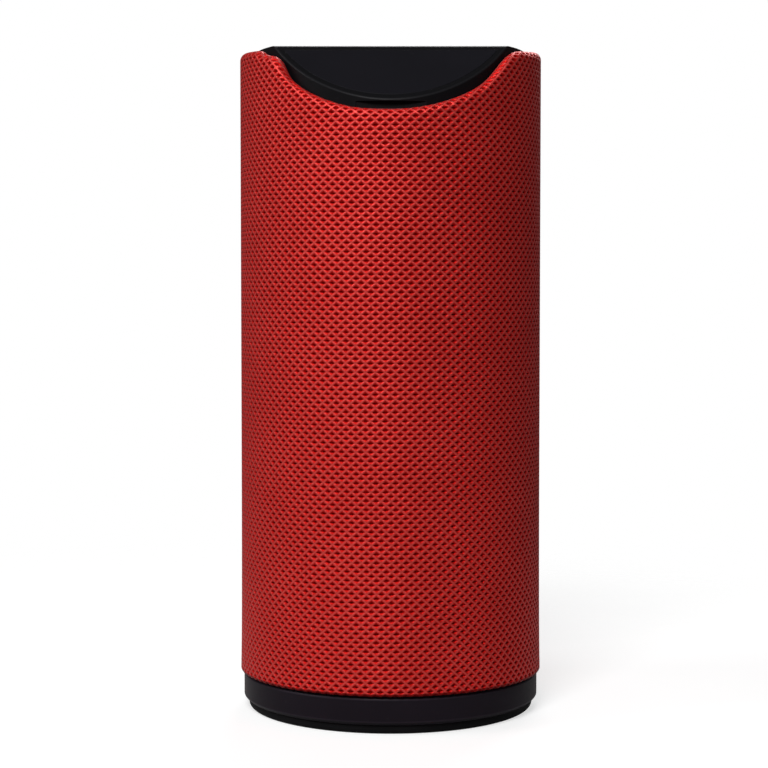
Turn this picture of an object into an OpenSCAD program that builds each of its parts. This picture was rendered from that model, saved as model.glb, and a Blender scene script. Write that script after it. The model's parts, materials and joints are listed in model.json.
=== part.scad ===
// Portable cloth-wrapped speaker that stands upright on a rubber foot.
// Millimetres. +Z is up, the slanted front of the cap faces -Y, and the origin is the
// centre of the foot's underside. The cap, the tube and the chassis share the Z axis.

/* [Body] */
// Outside diameter over the cloth
body_d = 73; // [72.6:0.2:74]
// Height of the flat deck above the floor
deck_h = 159; // [158:0.5:166]
// Slope of the slanted front of the cap
slant_deg = 43; // [41:0.5:44]
// Distance of the ridge in front of the axis
ridge_y = 17.8; // [17.4:0.1:18.4]
// Thickness of the cloth with its backing
cloth_t = 1; // [0.8:0.1:1]
// Depth of the cloth's top edge below the cap
cloth_drop = 1.5; // [1.2:0.1:2]
// Wall of the perforated tube under the cloth
tube_wall = 1.6; // [1.5:0.1:1.6]

/* [Base] */
// Height of the shadow gap between the base and the cloth
base_top = 8.7; // [8.4:0.1:9]
// Inset of the base band from the cloth
base_inset = 0.5; // [0.4:0.1:0.6]
// Thickness of the rubber foot
foot_t = 2.2; // [2:0.1:2.4]
// Outside radius of the rubber foot
foot_r = 34.8; // [34:0.2:35]
// Radius of the circle that the base screws stand on
base_screw_circle = 21; // [20:0.5:22]

/* [Top cap] */
// Radius of the cap
cap_r = 32.6; // [32.4:0.1:32.7]
// Wall of the cap's skirt
cap_wall = 1.8; // [1.6:0.1:2]
// Thickness of the deck
deck_t = 2.6; // [2.4:0.1:2.8]
// Width of the slot in the front of the cap
slot_w = 16; // [12:0.5:18]
// Height of that slot
slot_h = 1.7; // [1.5:0.1:1.8]
// Travel of each button
button_travel = 0.7; // [0.5:0.1:0.7]
// Stand of each button above the deck
button_proud = 0.6; // [0.4:0.1:0.8]

/* [Speakers] */
// Outside radius of a driver's flange
flange_r = 23; // [22.6:0.1:23]
// Height of the lower driver's centre
lower_z = 48; // [47:0.5:50]
// Height of the upper driver's centre, and of the passive radiator's
upper_z = 104; // [103:0.5:106]
// Radius of the passive radiator's weight plate
radiator_r = 13.2; // [12.8:0.1:13.2]

/* [Rear panel] */
// Width of the port plate
plate_w = 19; // [18.6:0.1:19.4]
// Height of the port plate
plate_h = 58; // [57:0.5:59]
// Radius of the hole for an audio plug
aux_r = 1.8; // [1.76:0.01:1.82]

/* [Hidden] */
$fn = 96;

// The body of revolution, from the outside in
cloth_r = body_d / 2;
tube_r = cloth_r - cloth_t;
tube_in = tube_r - tube_wall;
chassis_r = tube_in - 0.4;
chassis_wall = 1.8;
base_r = cloth_r - base_inset;
tuck_depth = 6;
tuck_in = cap_r + 0.3;
cloth_bottom = base_top + 0.3;
tube_bottom = base_top + 0.7;
big = 90;

// The chassis is a sealed box, cut in two across the axis
chamber_lo = 14;
chamber_hi = 136;
seal_half = 0.2;
end_wall = 1.6;
front_wall_y = 21.6;
rear_wall_y = 23.6;
flat_wall = 1.8;
chassis_screw_x = 19;
chassis_screw_z = [22, 76, 130];
boss_r = 3.6;
well_r = 2.5;
well_floor = 4;
front_boss_r = 3;
pilot_depth = 9.5;
screw_r = 1;
screw_head_r = 2.2;
screw_head_h = 1.4;
pilot_gap = 0.05;
through_gap = 0.3;

// A driver's own frame has its flange's front face at zero, and runs rearwards
driver_front = front_wall_y + 1.2;
flange_t = 1.2;
basket_neck_r = 15;
basket_in = 19.6;
basket_wall = 0.8;
basket_depth = 9.2;
plate_t = 2.5;
magnet_t = 8;
magnet_r = 14;
iron_r = 13.5;
pole_r = 7;
former_r = 7.6;
former_wall = 0.25;
coil_r = 8.05;
gap_r = 8.35;
cone_r = 17.2;
cone_depth = 5.3;
paper_t = 0.45;
dome_rise = 2.2;
ear_circle = 25;
ear_r = 2.6;
roll_t = 0.35;
top_plate_t0 = basket_depth;
magnet_t0 = top_plate_t0 + plate_t;
yoke_t0 = magnet_t0 + magnet_t;

// Passive radiator, measured outwards from the rear wall
radiator_roll = 1.75;
radiator_hole_r = radiator_r + 2 * radiator_roll + 0.2;
radiator_frame_r = radiator_hole_r + 2.6;
radiator_frame_t = 1.4;

// Battery
cell_r = 9.1;
cell_y = 12.2;
cell_lo = 16.6;
cell_len = 65;
nub_h = 0.7;
tab_t = 0.2;

// Main board and the sockets on its outer face
board_y = 25.2;
board_t = 1.2;
board_x = 15.5;
board_lo = 17;
board_hi = 75;
board_face = board_y + board_t;
board_screw_x = 13;
board_screw_z = [21, 71];
switch_z = 66;
micro_z = 57;
aux_z = 47.5;
card_z = 38;
usb_z = 26.5;
socket_front = 34.2;
usb_w = 13.1;
usb_h = 5.7;
micro_w = 7.6;
micro_h = 2.7;
card_w = 13;
card_h = 2;
sheet_t = 0.3;
aux_box = 6.4;
aux_collar_r = 2.9;
aux_depth = 7;
knob_w = 2.6;
knob_h = 2;
knob_travel = 2.4;
knob_front = 35.3;
port_gap = 0.15;

// Port plate: a curved bezel with a flat, sunken floor
plate_z = 45;
plate_r = cloth_r - 0.1;
plate_corner = 5;
plate_floor = 34.4;
plate_floor_t = 1.6;
plate_rim = 1.8;
opening_gap = 0.3;

// Cap, keys and key board
skirt_bottom = 140.5;
rim_z = deck_h - (cap_r - ridge_y) * tan(slant_deg);
slot_top = rim_z - 0.5;
slot_depth = 1.2;
fascia_inset = 1.2;
fascia_t = 1.3;
fascia_gap = 0.1;
play_at = [0, 4];
minus_at = [-17.5, 4];
plus_at = [17.5, 4];
mode_at = [0, 21];
play_r = 7;
side_key_r = 5;
mode_r = 4.5;
key_gap = 0.25;
key_flange = 1;
key_flange_t = 0.9;
key_flange_gap = 0.1;
symbol_h = 0.15;
symbol_w = 0.8;
key_board_t = 1.2;
switch_h = 0.95;
key_under = deck_h - deck_t - key_flange_gap - key_flange_t;
switch_top = key_under - button_travel - 0.1;
key_board_top = switch_top - switch_h;
key_board_r = 29.5;
key_board_front = -15;
key_posts = [[-24.5, -7], [24.5, -7], [-17, 20], [17, 20]];
post_r = 2;
pipe_at = [0, -9];
pipe_r = 1.1;
mic_at = [9, -11];
mic_r = 2;
mic_h = 1.8;

// Internal leads: points along each route
lead_r = 0.7;
lead_twist = [0.5, -0.62, 0.6];
lead_z = 80.5;
lead_y = board_y + board_t / 2;
lead_holes = [-14, -11.2, -8.4, -5.6];
battery_routes = [
  [[-2, 12.2, 83.6], [-2, 12.2, 86.5], [lead_holes[2], 15, 86.5], [lead_holes[2], 19, lead_z],
   [lead_holes[2], lead_y, lead_z], [lead_holes[2], lead_y, board_hi + 0.8]],
  [[1, 12.2, 83.6], [1, 15, 88.5], [lead_holes[3], 18.6, 86.5], [lead_holes[3], 20.6, lead_z],
   [lead_holes[3], lead_y, lead_z], [lead_holes[3], lead_y, board_hi + 0.8]]
];
speaker_routes = [
  [[-16.2, -14.2, 48], [-26, -9, 52], [-26, -9, 76], [-24, 3, lead_z], [lead_holes[0], 17, lead_z],
   [lead_holes[0], lead_y, lead_z], [lead_holes[0], lead_y, board_hi + 0.8]],
  [[-16.2, -14.2, 104], [-26, -9, 100], [-26, -8, 90], [-22, 3, 83.5], [lead_holes[1], 17, 83],
   [lead_holes[1], 20, lead_z], [lead_holes[1], lead_y, lead_z], [lead_holes[1], lead_y, board_hi + 0.8]]
];
key_bundle_r = 1;
key_route = [
  [13.5, 27.5, 73.5], [15.5, 27.6, 76.8], [20.6, 25, 80.5], [20.6, 25, 136.3], [16.5, 20, 139.3],
  [14, 14, key_board_top - 3.2]
];

// ---------- shared shapes ----------

// Everything under the cap's roof line, lowered by a given drop
module under_roof(drop) {
  front_z = deck_h - (big - ridge_y) * tan(slant_deg);
  rotate([90, 0, 90])
    linear_extrude(height = 2 * big, center = true)
      polygon([[-big, front_z - drop], [-ridge_y, deck_h - drop], [big, deck_h - drop],
               [big, -big], [-big, -big]]);
}

// A plain ring from z0 to z1
module ring(outer, inner, z0, z1) {
  translate([0, 0, z0])
    difference() {
      cylinder(r = outer, h = z1 - z0);
      translate([0, 0, -1]) cylinder(r = inner, h = z1 - z0 + 2);
    }
}

// A box given by its two corners
module block(low, high) {
  translate(low) cube(high - low);
}

// A round bar along Y, from y0 to y1
module bar_y(x, z, r, y0, y1) {
  translate([x, y0, z]) rotate([-90, 0, 0]) cylinder(r = r, h = y1 - y0);
}

// An upright prism through the rear wall, with rounded corners in elevation
module rear_prism(w, h, corner, y0, y1) {
  for (side = [-1, 1], end = [-1, 1])
    bar_y(side * (w / 2 - corner), plate_z + end * (h / 2 - corner), corner, y0, y1);
  block([-w / 2, y0, plate_z - h / 2 + corner], [w / 2, y1, plate_z + h / 2 - corner]);
  block([-w / 2 + corner, y0, plate_z - h / 2], [w / 2 - corner, y1, plate_z + h / 2]);
}

// The direction of a route at one of its points, halfway between its two stretches
function unit(v) = v / norm(v);
function heading(route, i) =
  i == 0 ? unit(route[1] - route[0])
  : i == len(route) - 1 ? unit(route[i] - route[i - 1])
  : unit(unit(route[i] - route[i - 1]) + unit(route[i + 1] - route[i]));

// A ring of points slid along a stretch until it lies in the plane through a point
function slide(ring, along, centre, normal) =
  [for (p = ring) p + along * ((centre - p) * normal) / (along * normal)];

// All the rings of a lead, each mitred halfway between its two stretches
function skin(route, ring, i) =
  i == len(route) - 1 ? ring
  : let (along = unit(route[i + 1] - route[i]))
    concat(ring, skin(route, slide(ring, along, route[i + 1], heading(route, i + 1)), i + 1));

// A lead swept along a list of points, with flat ends
module lead(route, r) {
  sides = 8;
  last = len(route) - 1;
  along = heading(route, 0);
  across = unit(cross(along, lead_twist));
  up = cross(along, across);
  start = [for (k = [0 : sides - 1])
    route[0] + r * (cos(360 * k / sides) * across + sin(360 * k / sides) * up)];
  wall_a = [for (i = [0 : last - 1], k = [0 : sides - 1])
    [i * sides + k, i * sides + (k + 1) % sides, (i + 1) * sides + k]];
  wall_b = [for (i = [0 : last - 1], k = [0 : sides - 1])
    [i * sides + (k + 1) % sides, (i + 1) * sides + (k + 1) % sides, (i + 1) * sides + k]];
  near = [for (k = [sides - 1 : -1 : 0]) k];
  far = [for (k = [0 : sides - 1]) last * sides + k];
  polyhedron(points = skin(route, start, 0), faces = concat(wall_a, wall_b, [near, far]),
             convexity = 6);
}

// A pan-head screw along +Z: its head sits under the seat at zero, and its shank goes up
module screw(r, length, head_r, head_h) {
  difference() {
    union() {
      cylinder(r = r, h = length);
      translate([0, 0, -head_h]) cylinder(r = head_r, h = head_h);
    }
    for (turn = [0, 90])
      rotate([0, 0, turn])
        translate([0, 0, -head_h]) cube([head_r * 1.2, 0.5, head_h], center = true);
  }
}

// ---------- base ----------

module rubber_foot() {
  edge = 1.2;
  inner = 25;
  color("#1b1b1d")
    rotate_extrude()
      union() {
        translate([inner, 0]) square([foot_r - edge - inner, foot_t]);
        translate([foot_r - edge - 0.01, edge]) square([edge + 0.01, foot_t - edge]);
        intersection() {
          translate([foot_r - edge, edge]) circle(r = edge);
          translate([foot_r - edge - 0.01, 0]) square([edge + 1, edge + 0.01]);
        }
      }
}

module base_cap() {
  hub_r = 24.6;
  hub_z = 1.2;
  floor_top = 4.2;
  shoulder_r = tube_r - 0.2;
  spigot_r = chassis_r;
  spigot_in = chassis_r - 1.6;
  spigot_top = 13.4;
  edge = 0.8;
  counterbore = 1.7;
  color("#1f1d22")
    difference() {
      rotate_extrude()
        polygon([[0, hub_z], [hub_r, hub_z], [hub_r, foot_t], [base_r - edge, foot_t],
                 [base_r, foot_t + edge], [base_r, base_top - 0.4], [base_r - 0.4, base_top],
                 [shoulder_r, base_top], [shoulder_r, tube_bottom], [spigot_r, tube_bottom],
                 [spigot_r, spigot_top], [spigot_in, spigot_top], [spigot_in, floor_top],
                 [0, floor_top]]);
      for (turn = [45 : 90 : 315])
        rotate([0, 0, turn])
          translate([base_screw_circle, 0, 0]) {
            cylinder(r = screw_r + through_gap, h = 2 * floor_top);
            cylinder(r = screw_head_r + through_gap, h = hub_z + counterbore);
          }
    }
}

module base_screws() {
  seat = 2.9;
  color("#4a4a4e")
    for (turn = [45 : 90 : 315])
      rotate([0, 0, turn])
        translate([base_screw_circle, 0, seat])
          screw(screw_r, 9, screw_head_r, screw_head_h);
}

// ---------- skin ----------

// Upright slots through the tube, centred on a heading and a height
module slot_field(heading, z, count, height) {
  pitch_deg = 9.5;
  for (i = [0 : count - 1])
    rotate([0, 0, heading + (i - (count - 1) / 2) * pitch_deg])
      block([tube_in - 2, -1.3, z - height / 2], [tube_r + 2, 1.3, z + height / 2]);
}

module grille_tube() {
  driver_slot = 40;
  radiator_slot = 30;
  color("#202022")
    difference() {
      intersection() {
        ring(tube_r, tube_in, tube_bottom, deck_h);
        under_roof(cloth_drop + cloth_t);
      }
      slot_field(-90, lower_z, 7, driver_slot);
      slot_field(-90, upper_z, 7, driver_slot);
      slot_field(90, upper_z, 7, radiator_slot);
      rear_prism(plate_w + 2 * opening_gap, plate_h + 2 * opening_gap, plate_corner, 20, 40);
    }
}

module cloth_sleeve() {
  color("#c8242a")
    difference() {
      intersection() {
        ring(cloth_r, tuck_in, cloth_bottom, deck_h);
        under_roof(cloth_drop);
      }
      intersection() {
        ring(tube_r, tube_in, 0, deck_h);
        under_roof(cloth_drop + cloth_t);
      }
      intersection() {
        cylinder(r = tube_in, h = deck_h);
        under_roof(cloth_drop + tuck_depth);
      }
      rear_prism(plate_w + 2 * opening_gap, plate_h + 2 * opening_gap, plate_corner, 20, 40);
    }
}

// ---------- chassis ----------

// One half of the sealed box; side is -1 for the front and 1 for the rear
module half_box(side, wall_y) {
  near = side < 0 ? -wall_y : seal_half;
  far = side < 0 ? -seal_half : wall_y;
  near_in = side < 0 ? -wall_y + flat_wall : -1;
  far_in = side < 0 ? 1 : wall_y - flat_wall;
  difference() {
    intersection() {
      translate([0, 0, chamber_lo]) cylinder(r = chassis_r, h = chamber_hi - chamber_lo);
      block([-big, near, 0], [big, far, deck_h]);
    }
    intersection() {
      translate([0, 0, chamber_lo + end_wall])
        cylinder(r = chassis_r - chassis_wall, h = chamber_hi - chamber_lo - 2 * end_wall);
      block([-big, near_in, 0], [big, far_in, deck_h]);
    }
  }
}

// Posts that take the base screws, for the headings given
module base_posts(headings, r, lift) {
  post_bottom = 4.4;
  for (turn = headings)
    rotate([0, 0, turn])
      translate([base_screw_circle, 0, post_bottom - lift])
        cylinder(r = r, h = chamber_lo + end_wall - post_bottom);
}

module front_chassis() {
  color("#2b2b30")
    difference() {
      union() {
        half_box(-1, front_wall_y);
        base_posts([225, 315], 3, 0);
        for (side = [-1, 1], z = chassis_screw_z)
          bar_y(side * chassis_screw_x, z, front_boss_r, -front_wall_y + 0.5, -seal_half);
      }
      base_posts([225, 315], screw_r + pilot_gap, 1);
      for (side = [-1, 1], z = chassis_screw_z)
        bar_y(side * chassis_screw_x, z, screw_r + pilot_gap, -pilot_depth, 1);
      for (z = [lower_z, upper_z]) {
        bar_y(0, z, basket_in + basket_wall + 0.2, -front_wall_y - 1, -front_wall_y + flat_wall + 1);
        for (turn = [45 : 90 : 315])
          bar_y(ear_circle * cos(turn), z + ear_circle * sin(turn), screw_r + pilot_gap,
                -front_wall_y - 1, -front_wall_y + flat_wall + 1);
      }
    }
}

module rear_chassis() {
  board_boss_r = 2.2;
  color("#26262b")
    difference() {
      union() {
        half_box(1, rear_wall_y);
        base_posts([45, 135], 3, 0);
        for (side = [-1, 1], z = chassis_screw_z)
          bar_y(side * chassis_screw_x, z, boss_r, seal_half, rear_wall_y);
        for (side = [-1, 1], z = board_screw_z)
          bar_y(side * board_screw_x, z, board_boss_r, rear_wall_y - flat_wall, board_y);
      }
      base_posts([45, 135], screw_r + pilot_gap, 1);
      for (side = [-1, 1], z = chassis_screw_z) {
        bar_y(side * chassis_screw_x, z, well_r, well_floor, rear_wall_y + 1);
        bar_y(side * chassis_screw_x, z, screw_r + through_gap, -1, rear_wall_y);
      }
      for (side = [-1, 1], z = board_screw_z)
        bar_y(side * board_screw_x, z, 0.8 + pilot_gap, rear_wall_y - flat_wall + 0.4, board_y + 1);
      bar_y(0, upper_z, radiator_hole_r, rear_wall_y - flat_wall - 1, rear_wall_y + 1);
      for (x = lead_holes)
        bar_y(x, lead_z, lead_r + 0.1, rear_wall_y - flat_wall - 1, rear_wall_y + 1);
    }
}

module chassis_gasket() {
  color("#3a3a3a")
    intersection() {
      difference() {
        translate([0, 0, chamber_lo]) cylinder(r = chassis_r, h = chamber_hi - chamber_lo);
        translate([0, 0, chamber_lo + end_wall])
          cylinder(r = chassis_r - chassis_wall, h = chamber_hi - chamber_lo - 2 * end_wall);
      }
      block([-big, -seal_half, 0], [big, seal_half, deck_h]);
    }
}

module chassis_screws() {
  color("#8a8a90")
    for (side = [-1, 1], z = chassis_screw_z)
      translate([side * chassis_screw_x, well_floor, z])
        rotate([90, 0, 0])
          screw(screw_r, well_floor + pilot_depth - 1.5, screw_head_r, screw_head_h);
}

// ---------- a driver, in its own frame ----------

module at_driver(z) {
  translate([0, -driver_front, z]) rotate([-90, 0, 0]) children();
}

module basket() {
  back_in = 8.6;
  back_t = 1;
  color("#5d6066")
    difference() {
      union() {
        rotate_extrude()
          polygon([[basket_in, 0], [flange_r, 0], [flange_r, flange_t],
                   [basket_in + basket_wall, flange_t], [basket_neck_r, basket_depth - flange_t],
                   [basket_neck_r, basket_depth], [back_in, basket_depth],
                   [back_in, basket_depth - back_t], [basket_neck_r - 1, basket_depth - back_t],
                   [basket_in, flange_t]]);
        for (turn = [45 : 90 : 315])
          rotate([0, 0, turn]) {
            translate([ear_circle, 0, 0]) cylinder(r = ear_r, h = flange_t);
            block([flange_r - 1.5, -ear_r, 0], [ear_circle, ear_r, flange_t]);
          }
      }
      for (turn = [45 : 90 : 315])
        rotate([0, 0, turn])
          translate([ear_circle, 0, -1]) cylinder(r = screw_r + through_gap, h = 4);
      for (turn = [0 : 60 : 300])
        rotate([0, 0, turn]) block([12, -4.5, 2.8], [24, 4.5, 7.2]);
    }
}

module top_plate() {
  color("#a9abaf")
    ring(iron_r, gap_r, top_plate_t0, magnet_t0);
}

module magnet() {
  color("#3c3d41")
    ring(magnet_r, gap_r + 1.2, magnet_t0, yoke_t0);
}

module yoke() {
  color("#a9abaf")
    rotate_extrude()
      polygon([[0, top_plate_t0], [pole_r, top_plate_t0], [pole_r, yoke_t0], [iron_r, yoke_t0],
               [iron_r, yoke_t0 + plate_t], [0, yoke_t0 + plate_t]]);
}

module voice_coil() {
  former_top = 4.9;
  former_end = 14;
  wind_top = 9.6;
  wind_end = 13;
  color("#b87333")
    rotate_extrude()
      polygon([[former_r - former_wall, former_top], [former_r, former_top], [former_r, wind_top],
               [coil_r, wind_top], [coil_r, wind_end], [former_r, wind_end],
               [former_r, former_end], [former_r - former_wall, former_end]]);
}

module cone() {
  dome_foot = 4.3;
  steps = 8;
  front = [for (i = [0 : steps])
    [former_r * i / steps, dome_foot - dome_rise * (1 - pow(i / steps, 2))]];
  back = [for (i = [steps : -1 : 0])
    [former_r * i / steps, dome_foot + paper_t - dome_rise * (1 - pow(i / steps, 2))]];
  color("#2e2e33")
    rotate_extrude()
      polygon(concat(front, [[cone_r, 0], [cone_r, paper_t], [former_r + 0.05, cone_depth],
                             [former_r + 0.05, dome_foot + paper_t]], back));
}

// A half roll of rubber between two radii, with a flat lip at its outer edge
module half_roll(inner, rise, thick, lip_out, base, forward) {
  middle = inner + rise + 0.05;
  rotate_extrude()
    translate([0, base])
      union() {
        intersection() {
          translate([middle, 0])
            difference() {
              circle(r = rise);
              circle(r = rise - thick);
            }
          translate([middle - rise - 1, forward < 0 ? -rise - 1 : 0])
            square([2 * rise + 2, rise + 1]);
        }
        translate([middle + rise - thick, forward < 0 ? -thick : 0])
          square([lip_out - middle - rise + thick, thick]);
      }
}

module surround() {
  color("#151517") half_roll(cone_r, 1.15, roll_t, flange_r - 1.4, 0, -1);
}

module spider() {
  lip_in = 12.8;
  lip_out = 13.9;
  waves = 5;
  inner = former_r + 0.1;
  wave_t = 7;
  wave_h = 0.35;
  thick = 0.25;
  seat = basket_depth - 1.05;
  top = [for (i = [0 : 2 * waves])
    [inner + (lip_in - inner) * i / (2 * waves), wave_t + (i % 2 == 0 ? wave_h : -wave_h)]];
  under = [for (i = [2 * waves : -1 : 0])
    [inner + (lip_in - inner) * i / (2 * waves), wave_t + thick + (i % 2 == 0 ? wave_h : -wave_h)]];
  color("#c9a227")
    rotate_extrude()
      polygon(concat(top, [[lip_in + 0.4, seat - thick], [lip_out, seat - thick],
                           [lip_out, seat], [lip_in + 0.1, seat]], under));
}

module driver_screws() {
  color("#8a8a90")
    for (z = [lower_z, upper_z], turn = [45 : 90 : 315])
      translate([ear_circle * cos(turn), -driver_front, z + ear_circle * sin(turn)])
        rotate([-90, 0, 0])
          screw(screw_r, 4, 2, 1.2);
}

// ---------- passive radiator ----------

module at_radiator() {
  translate([0, rear_wall_y, upper_z]) rotate([-90, 0, 0]) children();
}

module radiator_frame() {
  color("#3b3d42") at_radiator() ring(radiator_frame_r, radiator_hole_r, 0, radiator_frame_t);
}

module radiator_surround() {
  color("#151517")
    at_radiator()
      half_roll(radiator_r, radiator_roll, 0.4, radiator_frame_r - 0.4, radiator_frame_t, 1);
}

module radiator_plate() {
  weight_r = 7;
  color("#7a7d83")
    at_radiator()
      rotate_extrude()
        polygon([[0, -0.8], [weight_r, -0.8], [weight_r, 0.2], [radiator_r, 0.2],
                 [radiator_r, radiator_frame_t + 0.4], [0, radiator_frame_t + 0.4]]);
}

// ---------- battery ----------

module battery_cell() {
  color("#2f7fb8")
    translate([0, cell_y, cell_lo]) {
      cylinder(r = cell_r, h = cell_len - nub_h);
      cylinder(r = 3, h = cell_len);
    }
}

module battery_cradle() {
  half_w = 11;
  back_t = 0.4;
  back_y = rear_wall_y - flat_wall - 0.05;
  saddle_y = 14;
  color("#2b2b30")
    difference() {
      union() {
        block([-half_w, back_y - back_t, 26], [half_w, back_y, 72]);
        for (z = [30, 62])
          block([-half_w, saddle_y, z], [half_w, back_y, z + 6]);
      }
      translate([0, cell_y, 0]) cylinder(r = cell_r + 0.1, h = deck_h);
    }
}

module battery_tabs() {
  half_w = 3;
  color("#c8c8cc") {
    block([-half_w, cell_y - 3, cell_lo + cell_len], [half_w, cell_y + 4, cell_lo + cell_len + tab_t]);
    block([-half_w, cell_y - 3, cell_lo - tab_t], [half_w, cell_y + 4, cell_lo]);
  }
}

// ---------- main board and sockets ----------

module main_board() {
  color("#14532d")
    difference() {
      block([-board_x, board_y, board_lo], [board_x, board_face, board_hi]);
      for (side = [-1, 1], z = board_screw_z)
        bar_y(side * board_screw_x, z, 1, board_y - 1, board_face + 1);
    }
}

module board_screws() {
  color("#8a8a90")
    for (side = [-1, 1], z = board_screw_z)
      translate([side * board_screw_x, board_face, z])
        rotate([90, 0, 0])
          screw(0.8, 3.6, 1.6, 1);
}

module bluetooth_module() {
  color("#1f4e79") {
    block([-14.8, board_face, 51], [-8.8, board_face + 0.8, 62]);
    block([-14.2, board_face + 0.8, 54], [-9.4, board_face + 2, 61]);
  }
}

module amplifier_chip() {
  color("#1a1a1c") block([9.4, board_face, 54], [14.4, board_face + 1.2, 60]);
}

module capacitors() {
  can_r = 1.9;
  can_h = 3.6;
  color("#b9bcc2")
    for (place = [[12, 33], [12, 39], [12, 45], [-12, 33], [-12, 39]])
      bar_y(place[0], place[1], can_r, board_face, board_face + can_h);
}

// A folded steel shell around a rectangular opening, with a closed back
module socket_shell(w, h, z) {
  difference() {
    block([-w / 2, board_face, z - h / 2], [w / 2, socket_front, z + h / 2]);
    block([-w / 2 + sheet_t, board_face + 1, z - h / 2 + sheet_t],
          [w / 2 - sheet_t, socket_front + 1, z + h / 2 - sheet_t]);
  }
}

module usb_a_socket() {
  color("#b9bcc2") socket_shell(usb_w, usb_h, usb_z);
}

module usb_a_tongue() {
  half_w = 5.5;
  color("#e8e8e8")
    block([-half_w, board_face + 1, usb_z + 0.3], [half_w, socket_front - 0.6, usb_z + 2.1]);
}

module micro_usb_socket() {
  color("#b9bcc2") {
    socket_shell(micro_w, micro_h, micro_z);
    block([-2.2, board_face + 0.9, micro_z - 0.3], [2.2, socket_front - 0.8, micro_z + 0.35]);
  }
}

module card_slot() {
  color("#b9bcc2") socket_shell(card_w, card_h, card_z);
}

module aux_jack() {
  collar_back = 32;
  color("#1d1d20")
    difference() {
      union() {
        block([-aux_box / 2, board_face, aux_z - aux_box / 2],
              [aux_box / 2, collar_back, aux_z + aux_box / 2]);
        bar_y(0, aux_z, aux_collar_r, board_face, socket_front + 0.2);
      }
      bar_y(0, aux_z, aux_r, socket_front + 0.2 - aux_depth, socket_front + 1);
    }
}

module power_switch_body() {
  half_w = 4.5;
  half_h = 2.2;
  front = 32.6;
  color("#b9bcc2")
    difference() {
      block([-half_w, board_face, switch_z - half_h], [half_w, front, switch_z + half_h]);
      block([-3.4, front - 2, switch_z - 1.4], [3.4, front + 1, switch_z + 1.4]);
    }
}

module power_switch_knob() {
  foot_half = 2;
  foot_back = 30.8;
  color("#101012")
    translate([-knob_travel / 2, 0, switch_z]) {
      block([-knob_w / 2, foot_back + 1, -knob_h / 2], [knob_w / 2, knob_front, knob_h / 2]);
      block([-foot_half, foot_back, -1.2], [foot_half, foot_back + 1.2, 1.2]);
    }
}

// A clear hole through the plate's floor for a rectangular socket
module port_hole(w, h, z) {
  block([-w / 2 - port_gap, 30, z - h / 2 - port_gap], [w / 2 + port_gap, 40, z + h / 2 + port_gap]);
}

module port_plate() {
  recess_w = plate_w - 2 * plate_rim;
  recess_h = plate_h - 2 * plate_rim;
  recess_corner = plate_corner - plate_rim;
  color("#1b1b1e")
    difference() {
      union() {
        intersection() {
          rear_prism(plate_w, plate_h, plate_corner, 20, 40);
          ring(plate_r, tube_in, 0, 100);
        }
        intersection() {
          rear_prism(plate_w - 1, plate_h - 1, plate_corner - 0.5,
                     plate_floor - plate_floor_t, plate_floor);
          cylinder(r = plate_r - 0.2, h = 100);
        }
      }
      rear_prism(recess_w, recess_h, recess_corner, plate_floor, 40);
      port_hole(usb_w, usb_h, usb_z);
      port_hole(card_w, card_h, card_z);
      port_hole(micro_w, micro_h, micro_z);
      port_hole(knob_w + knob_travel, knob_h, switch_z);
      bar_y(0, aux_z, aux_collar_r + port_gap, 30, 40);
    }
}

// ---------- top ----------

module top_cap() {
  color("#1a1a1c")
    difference() {
      intersection() {
        translate([0, 0, skirt_bottom]) cylinder(r = cap_r, h = deck_h);
        under_roof(0);
      }
      difference() {
        intersection() {
          cylinder(r = cap_r - cap_wall, h = deck_h);
          under_roof(deck_t);
        }
        for (place = key_posts)
          translate([place[0], place[1], key_board_top]) cylinder(r = post_r, h = 10);
      }
      for (place = key_posts)
        translate([place[0], place[1], key_board_top - 1])
          cylinder(r = 0.8 + pilot_gap, h = 3.2);
      difference() {
        intersection() {
          cylinder(r = cap_r - fascia_inset, h = 2 * deck_h);
          block([-big, -big, 0], [big, -ridge_y - fascia_inset, 2 * deck_h]);
        }
        under_roof(fascia_t);
      }
      block([-slot_w / 2, -cap_r - 1, slot_top - slot_h], [slot_w / 2, slot_depth - cap_r, slot_top]);
      for (key = [[play_at, play_r], [minus_at, side_key_r], [plus_at, side_key_r], [mode_at, mode_r]])
        translate([key[0][0], key[0][1], deck_h - deck_t - 1])
          cylinder(r = key[1] + key_gap, h = deck_t + 2);
      translate([pipe_at[0], pipe_at[1], deck_h - deck_t - 1])
        cylinder(r = pipe_r + fascia_gap, h = deck_t + 2);
      translate([mic_at[0], mic_at[1], deck_h - deck_t - 1])
        cylinder(r = 0.6, h = deck_t + 2);
    }
}

module fascia_panel() {
  color("#1a1a1e")
    difference() {
      intersection() {
        cylinder(r = cap_r - fascia_inset - fascia_gap, h = deck_h);
        under_roof(0);
        block([-big, -big, 0], [big, -ridge_y - fascia_inset - fascia_gap, deck_h]);
      }
      under_roof(fascia_t - 0.02);
    }
}

module key_board() {
  color("#14532d")
    difference() {
      intersection() {
        translate([0, 0, key_board_top - key_board_t]) cylinder(r = key_board_r, h = key_board_t);
        block([-big, key_board_front, 0], [big, big, deck_h]);
      }
      for (place = key_posts)
        translate([place[0], place[1], 0]) cylinder(r = 1, h = deck_h);
    }
}

module key_switches() {
  side = 5.2;
  can_h = 0.7;
  dome_r = 1.6;
  color("#c8c8cc")
    for (place = [play_at, minus_at, plus_at, mode_at])
      translate([place[0], place[1], key_board_top]) {
        translate([-side / 2, -side / 2, 0]) cube([side, side, can_h]);
        cylinder(r = dome_r, h = switch_h);
      }
}

module key_screws() {
  color("#8a8a90")
    for (place = key_posts)
      translate([place[0], place[1], key_board_top - key_board_t])
        screw(0.8, 3, 1.6, 1);
}

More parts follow.
